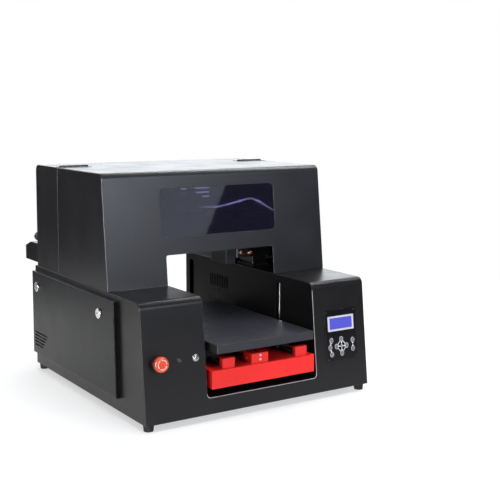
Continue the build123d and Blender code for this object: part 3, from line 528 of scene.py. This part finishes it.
LOOKS = {
    "hood": powder_coat("hood_coat", (0.0120, 0.0120, 0.0150), rough=0.34, specular=0.5, edge_wear_and_highlight=0.7),
    "shell": powder_coat("shell_coat", (0.0090, 0.0083, 0.0092), rough=0.33, specular=0.27, edge_wear_and_highlight=0.9),
    "cover": powder_coat("cover_coat", (0.0085, 0.0088, 0.0105), rough=0.30, specular=0.17, edge_wear_and_highlight=0.6),
    "inner": powder_coat("inner_coat", (0.0022, 0.0022, 0.0024), rough=0.5, specular=0.12, edge_wear_and_highlight=0.1),
    "panel": powder_coat("panel_film", (0.0062, 0.0060, 0.0078), rough=0.24, specular=0.22, edge_wear_and_highlight=0.25),
    "red": powder_coat("red_coat", (0.93, 0.017, 0.013), rough=0.38, specular=0.3, edge_wear_and_highlight=0.25),
    "table": anodised("table_anodised", (0.019, 0.020, 0.027)),
    "chrome": metal("chrome_plate", (0.72, 0.70, 0.68), rough=0.12, grain=90, depth=0.00001),
    "keys": moulded("grey_keys", (0.14, 0.14, 0.15), rough=0.4),
    "bezel": moulded("white_bezel", (0.72, 0.72, 0.76), rough=0.3),
    "stop_red": moulded("stop_red", (0.86, 0.085, 0.022), rough=0.25, grain=0.00001, coat=0.5),
    "black_plastic": moulded("black_plastic", (0.010, 0.010, 0.011), rough=0.45, grain=0.00006),
    "rubber": rubber("foot_rubber", (0.010, 0.010, 0.010)),
    "belt_x": ribbed_belt("belt_x_ribs", "X", 2 * MM),
    "belt_y": ribbed_belt("belt_y_ribs", "Y", 2 * MM),
    "rod": metal("ground_rod", (0.66, 0.66, 0.68), rough=0.16, stretch=(1, 1, 0.02), grain=900),
    "rail": metal("ground_rail", (0.20, 0.20, 0.21), rough=0.22, stretch=(1, 0.02, 1), grain=900),
    "thread": threaded("lift_thread"),
    "milled": metal("milled_aluminium", (0.42, 0.43, 0.45), rough=0.32, stretch=(0.05, 1, 1), grain=500),
    "motor": powder_coat("motor_black", (0.010, 0.010, 0.011), rough=0.5, specular=0.4, edge_wear_and_highlight=0.3),
    "bottle": bottle("ink_bottle"),
    "zinc": galvanised("zinc_sheet"),
    "circuit": circuit("circuit_board"),
    "acrylic": tinted_acrylic("tinted_acrylic_sheet"),
    "screen": screen("display_screen"),
    "copper": metal("copper_fitting", (0.72, 0.40, 0.24), rough=0.24, grain=300),
    # A pale grey coat for the bead round the tunnel's opening: a painted highlight on the sheet's bend.
    "edge": powder_coat("painted_edge_highlight", (0.40, 0.39, 0.40), rough=0.22, specular=0.6, edge_wear_and_highlight=0.2),
    "ink_white": moulded("printed_white", (0.85, 0.85, 0.87), rough=0.45),
    "sign": moulded("printed_sign", (0.50, 0.50, 0.52), rough=0.45),
    "ink_dark": moulded("printed_dark", (0.03, 0.03, 0.035), rough=0.45),
    "hose": moulded("clear_hose", (0.78, 0.80, 0.84), rough=0.16, grain=0.00001, specular=0.6),
    "lamp": anodised("lamp_housing", (0.020, 0.026, 0.040)),
}
NODE_LOOKS = {
    "hood": ("front_hood", "rear_housing"),
    "shell": ("base_shell", "junction_box"),
    "cover": ("left_side_cover", "right_side_cover"),
    "inner": ("tunnel_liner", "base_pan"),
    "panel": ("control_panel",),
    "red": ("z_tray",),
    "table": ("table_top",),
    "chrome": ("left_front_lock", "left_rear_lock", "right_front_lock", "right_rear_lock",
               "button_bezel", "button_cap"),
    "keys": tuple(n for n in NODES if n.startswith("key_")),
    "bezel": ("lcd_display",),
    "stop_red": ("estop_head",),
    "black_plastic": ("estop_collar", "estop_stem", "power_inlet", "print_carriage", "cap_station",
                      "print_head", "rear_knob"),
    "rubber": ("feet",),
    "belt_x": ("x_belt",),
    "belt_y": ("y_belt", "z_belt"),
    "rod": ("guide_rods",),
    "rail": ("y_rails",),
    "thread": tuple(n for n in NODES if n.endswith("_screw")),
    "milled": ("lift_arms", "x_beam", "y_pulley", "y_idler", "x_pulley", "x_idler"),
    "motor": ("z_motor", "y_motor", "x_motor", "table_base"),
    "bottle": ("ink_bottles",),
    "zinc": ("power_supply",),
    "circuit": ("main_board",),
    "acrylic": ("window",),
    "lamp": ("uv_lamp",),
}


def paint_nodes():
    """Gives each CAD node its look, and stops if one has none."""
    for look_name, node_names in NODE_LOOKS.items():
        for node_name in node_names:
            mesh = NODES[node_name].data
            mesh.materials.clear()
            mesh.materials.append(LOOKS[look_name])
    bare = [n for n in NODES if NODES[n].data.materials[0] not in LOOKS.values()]
    assert not bare, bare


def smooth_nodes():
    """Smooth shading for the CAD nodes, with sharp edges kept where faces meet at more than 25 degrees."""
    for node in NODES.values():
        for polygon in node.data.polygons:
            polygon.use_smooth = True
        attributes = node.data.attributes
        sharp = attributes.get("sharp_edge") or attributes.new("sharp_edge", "BOOLEAN", "EDGE")
        bm = bmesh.new()
        bm.from_mesh(node.data)
        sharp.data.foreach_set("value", [
            len(e.link_faces) != 2 or e.calc_face_angle(0) > radians(25) for e in bm.edges])
        bm.free()


# ---------------------------------------------------------------- control panel
CROSS_KEYS = ("key_up", "key_left", "key_down", "key_right")      # each a quarter turn from the last
SIGN = 1.7 * MM                            # the signs' sizes are multiples of this
RING_W, RING_H, RING_LINE = 4.75 * MM, 6.05 * MM, 1.15 * MM       # half the inner sizes, and the line
RING_REACH = 6.6 * MM                      # the links start this far from a key's middle
LINK_T = 0.17 * MM


def key_signs():
    """A small light sign on each key: arrows on the cross, generic marks on the others."""
    arrow = [(0, SIGN), (-0.9 * SIGN, -0.6 * SIGN), (0.9 * SIGN, -0.6 * SIGN)]
    dash = rounded_rectangle(2 * SIGN, 0.4 * SIGN, 0.1 * SIGN, 2)
    signs = {}
    for quarter, key in enumerate(CROSS_KEYS):
        turn = Matrix.Rotation(quarter * pi / 2, 2)
        signs[key] = [[turn @ Vector(p) for p in arrow]]
    signs["key_start"] = [[(-0.6 * SIGN, SIGN), (-0.6 * SIGN, -SIGN), (SIGN, 0)]]
    signs["key_stop"] = [rounded_rectangle(1.7 * SIGN, 1.7 * SIGN, 0.3 * SIGN)]
    signs["key_menu"] = [[(x, y + row * 0.9 * SIGN) for x, y in dash] for row in (-1, 0, 1)]
    signs["key_load"] = [rounded_rectangle(1.2 * SIGN, 1.9 * SIGN, 0.2 * SIGN)]
    signs["key_clean"] = [circle(0.8 * SIGN, 0, 16)]
    for key, outlines in signs.items():
        bm = bmesh.new()
        top = moved(outer_face(key, FACE_OUT), z=-0.04 * MM)
        for outline in outlines:
            add_plate(bm, outline, 0.14 * MM, top)
        piece(key + "_sign", bm, key + "_body", LOOKS["sign"])


def keypad_print():
    """White oval rings round the keys, and the bars and points that link them."""
    face = outer_face("control_panel", FACE_OUT)
    to_face = face.inverted()
    on_face = moved(face, z=-0.05 * MM)
    keys = {k: (to_face @ outer_face(k, FACE_OUT).translation).xy for k in NODES if k.startswith("key_")}
    bm = bmesh.new()
    for place in keys.values():
        add_oval_band(bm, RING_W, RING_H, RING_LINE, 0.2 * MM, moved(on_face, *place))

    def link(first, second, start_width, end_width):
        """A bar between two rings that changes its width on the way."""
        reach = (keys[second] - keys[first]).normalized() * RING_REACH
        add_strip(bm, keys[first] + reach, keys[second] - reach, start_width, end_width, LINK_T, on_face)

    def point(key, towards, start, end, width):
        """A point on the way from a key to a place, between two distances from the key."""
        way = (towards - keys[key]).normalized()
        add_strip(bm, keys[key] + way * start, keys[key] + way * end, width, 0, LINK_T, on_face)

    link("key_menu", "key_clean", 5.0 * MM, 2.6 * MM)
    link("key_clean", "key_load", 2.6 * MM, 5.2 * MM)
    for first, second in zip(CROSS_KEYS, CROSS_KEYS[1:] + CROSS_KEYS[:1]):
        link(first, second, 1.7 * MM, 1.7 * MM)
    hub = sum((keys[k] for k in CROSS_KEYS), Vector((0, 0))) / len(CROSS_KEYS)
    add_band(bm, 2.4 * MM, 3.9 * MM, 0.18 * MM, moved(on_face, *hub))
    for key in CROSS_KEYS:
        point(key, hub, 6.0 * MM, (hub - keys[key]).length - 3.6 * MM, 5.2 * MM)
    for first, second in (("key_start", "key_stop"), ("key_stop", "key_start")):
        point(first, keys[second], RING_REACH, 11.4 * MM, 6.4 * MM)
    piece("keypad_print", bm, "root", LOOKS["ink_white"])


def panel_screws():
    """A dark screw in each corner of the panel."""
    face = outer_face("control_panel", FACE_OUT)
    low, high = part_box("control_panel")
    inset = 6.5 * MM
    half_w, half_h = (high.x - low.x) / 2 - inset, (high.z - low.z) / 2 / cos(LEAN) - inset
    places = [moved(face, x, y) for x in (-half_w, half_w) for y in (-half_h, half_h)]
    screws("panel_screws", places, 2.2 * MM, "root", LOOKS["motor"])


def display_glass():
    """The lit screen in the display's recess."""
    width, height, thickness, sunk = 76.6 * MM, 30.6 * MM, 0.7 * MM, 1.62 * MM
    at = moved(outer_face("lcd_display", FACE_OUT), z=-sunk)
    bm = bmesh.new()
    add_plate(bm, rounded_rectangle(width, height, 0.6 * MM), thickness, at, 0.3 * MM)
    piece("display_glass", bm, "root", LOOKS["screen"])


# ---------------------------------------------------------------- stop and power buttons
def stop_arrows():
    """Three turning arrows on top of the emergency stop."""
    line_r, line_w = 11.6 * MM, 1.7 * MM
    sweep, tip_sweep = radians(82), radians(22)
    top = moved(outer_face("estop_head", FACE_OUT), z=-0.05 * MM)
    bm = bmesh.new()
    for start in (k * tau / 3 for k in range(3)):
        end = start + sweep
        add_band(bm, line_r - line_w / 2, line_r + line_w / 2, 0.35 * MM, top, start, end, 12)
        tip = ((line_r + 1.1 * line_w, end), (line_r - 1.1 * line_w, end), (line_r, end + tip_sweep))
        add_plate(bm, [(r * cos(angle), r * sin(angle)) for r, angle in tip], 0.33 * MM, top)
    piece("stop_arrows", bm, "estop_knob", LOOKS["ink_white"])


def power_sign():
    """The usual ring and bar on the power button."""
    top = moved(outer_face("button_cap", FACE_OUT), z=-0.05 * MM)
    line = 0.8 * MM
    bm = bmesh.new()
    add_band(bm, 2.3 * MM, 2.3 * MM + line, 0.2 * MM, top, radians(120), radians(420))
    add_strip(bm, (0, 1.0 * MM), (0, 3.6 * MM), line, line, 0.2 * MM, top)
    piece("power_sign", bm, "power_button", LOOKS["ink_dark"])


def status_mark():
    """Two short slanted strokes printed between the stop and the power button."""
    half_w, half_h, line, gap = 2.4 * MM, 4.6 * MM, 1.6 * MM, 5.2 * MM
    stop, power = middle("estop_head"), middle("button_cap")
    centre = face_point(power.x - 46 * MM, (stop.z + power.z) / 2 - 1 * MM, -0.03 * MM)
    at = placed(centre, FACE_OUT)
    bm = bmesh.new()
    for x in (-gap / 2, gap / 2):
        add_strip(bm, (x - half_w, half_h), (x + half_w, -half_h), line, line, 0.15 * MM, at)
    look = moulded("printed_grey", (0.16, 0.165, 0.18), 0.5)
    piece("status_mark", bm, "root", look)


# ---------------------------------------------------------------- screws
def block_screws():
    """Two screws on the front of the tray's middle block."""
    low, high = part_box("z_tray")
    x, y = -11.4 * MM, low.y + 5.5 * MM
    places = [placed((x, y, high.z - drop), -BACK) for drop in (5.5 * MM, 17 * MM)]
    screws("block_screws", places, 3.3 * MM, "stage", LOOKS["bezel"])


def rail_screws():
    """A row of screws along each of the tray's rails."""
    low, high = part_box("y_rails")
    count, end_gap, rail_x, sunk = 12, 20 * MM, high.x - 7.5 * MM, 1.6 * MM
    pitch = (high.y - low.y - 2 * end_gap) / (count - 1)
    places = [placed((x, low.y + end_gap + k * pitch, high.z - sunk), UP)
              for x in (-rail_x, rail_x) for k in range(count)]
    screws("rail_screws", places, 2.6 * MM, "stage", LOOKS["rod"])


def hinge_screws():
    """Three screws in each leaf of the hood's hinges."""
    hinge_x, pitch, from_axis, barrel_r = 295 * MM, 32 * MM, 15 * MM, 2.4 * MM
    leaf_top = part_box("rear_housing")[1].z - barrel_r - 1.5 * MM
    axis_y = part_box("front_hood")[1].y - barrel_r
    for name, way, body in (("front_hinge_screws", -1, "hood"), ("rear_hinge_screws", 1, "root")):
        places = [placed((x + shift, axis_y + way * from_axis, leaf_top), UP)
                  for x in (-hinge_x, hinge_x) for shift in (-pitch, 0, pitch)]
        screws(name, places, 2.2 * MM, body, LOOKS["motor"])


def wall_screws():
    """Four dark screws on each of the tunnel's walls."""
    wall_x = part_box("tunnel_liner")[1].x - 2 * MM
    mid_y, mid_z = FRONT + 522 * MM, 200 * MM
    places = [placed((side * wall_x, mid_y + dy, mid_z + dz), RIGHT * -side, BACK)
              for side in (-1, 1) for dy in (-12 * MM, 12 * MM) for dz in (-17 * MM, 17 * MM)]
    screws("wall_screws", places, 3.2 * MM, "root", LOOKS["motor"])


def back_screws():
    """Screws round the back of the base and of the rear housing, none of them behind the junction box."""
    base_y, housing_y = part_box("base_shell")[1].y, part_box("rear_housing")[1].y
    spots = [(x, base_y, z) for x in (-330, -200, 200, 330) for z in (28, 298)]
    spots += [(x, housing_y, z) for x in (-195, 195, 325) for z in (330, 590)] + [(-325, housing_y, 596)]
    places = [placed((x * MM, y, z * MM), BACK) for x, y, z in spots]
    screws("back_screws", places, 3.4 * MM, "root", LOOKS["motor"])


def inlet_screws():
    """A screw on either side of the power inlet."""
    inlet, outer_y = middle("power_inlet"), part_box("power_inlet")[1].y
    places = [placed((inlet.x + shift, outer_y, inlet.z), BACK) for shift in (-20 * MM, 20 * MM)]
    screws("inlet_screws", places, 2.2 * MM, "root", LOOKS["rod"])


# ---------------------------------------------------------------- sheet edge and pipe
def opening_edge_highlight():
    """A pale bead along the bend of the sheet round the front of the tunnel's opening, coloured light as a
    painted highlight on that bend.
    """
    low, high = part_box("tunnel_liner")
    sheet, sunk = 2 * MM, 0.35 * MM
    half, floor_z, corner = high.x - sheet + sunk, low.z + sheet - sunk * cos(LEAN), 10 * MM + sunk
    bend = [(half - corner + corner * cos(a), floor_z + corner - corner * sin(a))
            for a in (k * pi / 16 for k in range(9))]
    path = [(half, TOWER_TOP - 20 * MM)] + bend + [(-x, z) for x, z in reversed(bend)]
    line = [face_point(x, z, -sunk) for x, z in path]
    tube("opening_edge_highlight", line, 1.05 * MM, 12, LOOKS["edge"])


def cleaning_pipe():
    """A clear pipe that arches from an ink bottle to the right tower, above the carriage's way."""
    cap_z, tower_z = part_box("ink_bottles")[1].z / MM, TOWER_TOP / MM
    stops = [(27, 620, cap_z - 3), (27, 620, cap_z + 12), (24, 575, 508), (16, 480, 506),
             (18, 390, 500), (38, 346, 499), (71, 340, 500), (122, 340, 508), (160, 340, 516),
             (176, 340, 517), (196, 340, 511), (217, 340, 500), (253, 340, 478), (277, 342, 468),
             (290, 348, 448), (292, 354, 400), (292, 356, tower_z - 1)]
    stops = [Vector((x * MM, FRONT + y * MM, z * MM)) for x, y, z in stops]
    tube("cleaning_pipe", smooth_path(stops), 3 * MM, 14, LOOKS["hose"])


# ---------------------------------------------------------------- carriage
def hose_fittings():
    """Copper hose fittings on the carriage's front, turned from a profile of radii and heights."""
    profile = [(4.2, -1), (7.4, -1), (7.4, 0), (7.4, 3.5), (6.2, 4.2), (6.2, 5.6), (7.0, 6.4), (7.0, 9.0),
               (5.6, 10.2), (4.4, 10.4), (4.4, 16.5), (3.6, 17.6), (2.2, 17.6), (2.2, 9)]
    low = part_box("print_carriage")[0]
    for name, x, z in (("left_fitting", 12, 16), ("right_fitting", 43, 13)):
        at = placed((low.x + x * MM, low.y, low.z + z * MM), -BACK)
        bm = bmesh.new()
        add_rings(bm, [circle(radius * MM, height * MM, 48) for radius, height in profile], at)
        piece(name, bm, "carriage", LOOKS["copper"])


def nozzle_rows():
    """Six bright nozzle rows under the print head."""
    count, pitch, width, length = 6, 6 * MM, 1.1 * MM, 56 * MM
    under = moved(outer_face("print_head", -UP), z=-0.1 * MM)
    bm = bmesh.new()
    for row in range(count):
        at = moved(under, x=(row - (count - 1) / 2) * pitch)
        add_plate(bm, rounded_rectangle(width, length, 0.4 * MM), 0.25 * MM, at)
    piece("nozzle_rows", bm, "carriage", LOOKS["chrome"])


def lamp_glass():
    """The glass under the curing lamp."""
    under = moved(outer_face("uv_lamp", -UP), z=-0.1 * MM)
    bm = bmesh.new()
    add_plate(bm, rounded_rectangle(24 * MM, 66 * MM, 2 * MM, 4), 0.9 * MM, under, 0.3 * MM)
    look = moulded("lamp_glass", (0.10, 0.12, 0.30), 0.08, 0.000005, 0.6)
    piece("lamp_glass", bm, "carriage", look)


# ---------------------------------------------------------------- camera
CAMERA_AT = Vector((-1.3800, FRONT - 2.0396, 0.7887))
YAW, PITCH, ROLL = radians(33.154), radians(5.863), radians(0.091)
SENSOR, LENS = 36, 70.15                   # in millimetres
SHIFT_UP = -0.09                           # in parts of the picture's height


def make_camera():
    """The photo's camera, solved from the machine's straight edges."""
    data = bpy.data.cameras.new("camera")
    data.sensor_width = SENSOR
    data.lens = LENS
    data.shift_y = SHIFT_UP
    camera = bpy.data.objects.new("camera", data)
    bpy.context.scene.collection.objects.link(camera)
    ahead = Vector((sin(YAW) * cos(PITCH), cos(YAW) * cos(PITCH), -sin(PITCH)))
    right = Vector((cos(YAW), -sin(YAW), 0))
    down = ahead.cross(right)
    right, down = right * cos(ROLL) - down * sin(ROLL), right * sin(ROLL) + down * cos(ROLL)
    turn = Matrix((right, -down, -ahead)).transposed().to_4x4()
    camera.matrix_world = Matrix.Translation(CAMERA_AT) @ turn
    bpy.context.scene.camera = camera


# ---------------------------------------------------------------- floor and light
FLOOR_R = 2.3
CENTRE = Vector((0, 0, 0.3))               # the middle of the machine
ROOM_GLOW, WALL_GLOW, CEILING_GLOW = 0.05, 3.0, 0.20
# The two softboxes stand side by side in one plane. Their lower edges meet at BOX_SPLIT, and their upper
# edges are moved to the right by BOX_SLANT.
BOX_Y, BOX_LOW, BOX_HIGH, BOX_SLANT = FRONT - 3.115, 0.56, 2.10, 0.944
BOX_LEFT, BOX_SPLIT, BOX_RIGHT = -0.2, 0.9, 1.865


def make_floor():
    """A round sheet of pale paper, which fades into the white backdrop at its rim."""
    look = Look("floor_paper", Roughness=0.75, Specular_IOR_Level=0.15,
                Emission_Color=(1, 1, 1, 1), Emission_Strength=0.56)
    look.colour(look.mix(look.noise(3, 3), (0.45, 0.455, 0.46, 1), (0.48, 0.48, 0.485, 1)))
    look.bump(look.noise(240, 3), 0.0002, 0.2)
    reach = look.node("ShaderNodeVectorMath", operation="LENGTH")
    look.join(look.place, reach.inputs[0])
    fade = look.spread(reach.outputs["Value"], 1, 0, 0.5 * FLOOR_R, 0.97 * FLOOR_R)
    look.join(fade, look.shader.inputs["Alpha"])
    bm = bmesh.new()
    bm.faces.new([bm.verts.new(p) for p in circle(FLOOR_R, 0, 64)])
    new_object("floor", bm, look.material)


def area_light(name, at, towards, size, power, diffuse=True, glossy=True, spread=180):
    """A rectangular area light, facing a point, which can be left out of matt or mirrored light."""
    data = bpy.data.lights.new(name, "AREA")
    data.shape = "RECTANGLE"
    data.size, data.size_y = size
    data.energy = power
    data.spread = radians(spread)
    light = bpy.data.objects.new(name, data)
    bpy.context.scene.collection.objects.link(light)
    light.visible_diffuse, light.visible_glossy = diffuse, glossy
    way = Vector(towards) - Vector(at)
    light.matrix_world = Matrix.Translation(at) @ way.to_track_quat("-Z", "Y").to_matrix().to_4x4()


def softbox(name, left, right, strength):
    """A glowing slanted panel behind the camera, which the window and the hood mirror."""
    outline = [(left, BOX_Y, BOX_LOW), (right, BOX_Y, BOX_LOW),
               (right + BOX_SLANT, BOX_Y, BOX_HIGH), (left + BOX_SLANT, BOX_Y, BOX_HIGH)]
    look = Look(name + "_cloth", Base_Color=(0, 0, 0, 1), Emission_Color=(0.82, 0.88, 1.0, 1),
                Emission_Strength=strength)
    bm = bmesh.new()
    bm.faces.new([bm.verts.new(p) for p in outline])
    new_object(name, bm, look.material)


def make_world():
    """White where the camera looks past the object, and a dim studio with a bright back wall elsewhere."""
    world = bpy.data.worlds.new("studio")
    bpy.context.scene.world = world
    world.use_nodes = True
    nodes = Nodes(world.node_tree, "Generated")
    to_wall = Vector((sin(YAW), cos(YAW), 0.08)).normalized()
    wall = nodes.spread(nodes.dot(nodes.place, to_wall), ROOM_GLOW, WALL_GLOW, 0.84, 0.96, "SMOOTHSTEP")
    ceiling = nodes.spread(nodes.axis("Z"), 0, CEILING_GLOW, 0.1, 1)
    room = nodes.node("ShaderNodeBackground")
    nodes.feed(room.inputs, ((0.93, 0.96, 1.0, 1), nodes.calc("ADD", wall, ceiling)))
    white = world.node_tree.nodes["Background"]
    white.inputs["Color"].default_value = (1, 1, 1, 1)
    seen = nodes.node("ShaderNodeLightPath").outputs["Is Camera Ray"]
    shown = nodes.node("ShaderNodeMixShader")
    nodes.feed(shown.inputs, (seen, room.outputs[0], white.outputs[0]))
    nodes.join(shown.outputs[0], world.node_tree.nodes["World Output"].inputs["Surface"])


def make_light():
    """Light from above and three sides, and what shows as bright lines and mirror images only."""
    make_world()
    area_light("overhead", (0.2, -0.3, 3.2), CENTRE, (3.6, 3.2), 132, glossy=False)
    area_light("bend_strip", (1.4, FRONT + 0.66, 2.4), (0, FRONT, 0.4), (2.6, 0.12), 38, diffuse=False)
    area_light("edge_strip", (-2.85, FRONT - 1.45, 0.85), (-0.35, FRONT, 0.45), (0.9, 1.7), 250,
               diffuse=False)
    softbox("bright_softbox", BOX_LEFT, BOX_SPLIT, 8.6)
    softbox("dim_softbox", BOX_SPLIT, BOX_RIGHT, 1.6)
    area_light("pipe_light", (0.165, FRONT + 0.25, 0.462), (0.165, FRONT + 0.34, 0.515), (0.24, 0.01), 1.2,
               spread=40)
    area_light("left_fill", (-3.4, -1.4, 1.5), CENTRE, (1.6, 1.6), 14)
    area_light("right_fill", (3.2, 1.2, 1.6), CENTRE, (1.6, 1.6), 22)
    area_light("back_fill", (-1.6, 3.4, 1.7), CENTRE, (1.8, 1.4), 22)
    bpy.context.scene.view_settings.view_transform = "Standard"


paint_nodes()
key_signs()
keypad_print()
panel_screws()
display_glass()
stop_arrows()
power_sign()
status_mark()
block_screws()
rail_screws()
hinge_screws()
wall_screws()
back_screws()
inlet_screws()
opening_edge_highlight()
cleaning_pipe()
hose_fittings()
nozzle_rows()
lamp_glass()
smooth_nodes()
make_camera()
make_floor()
make_light()
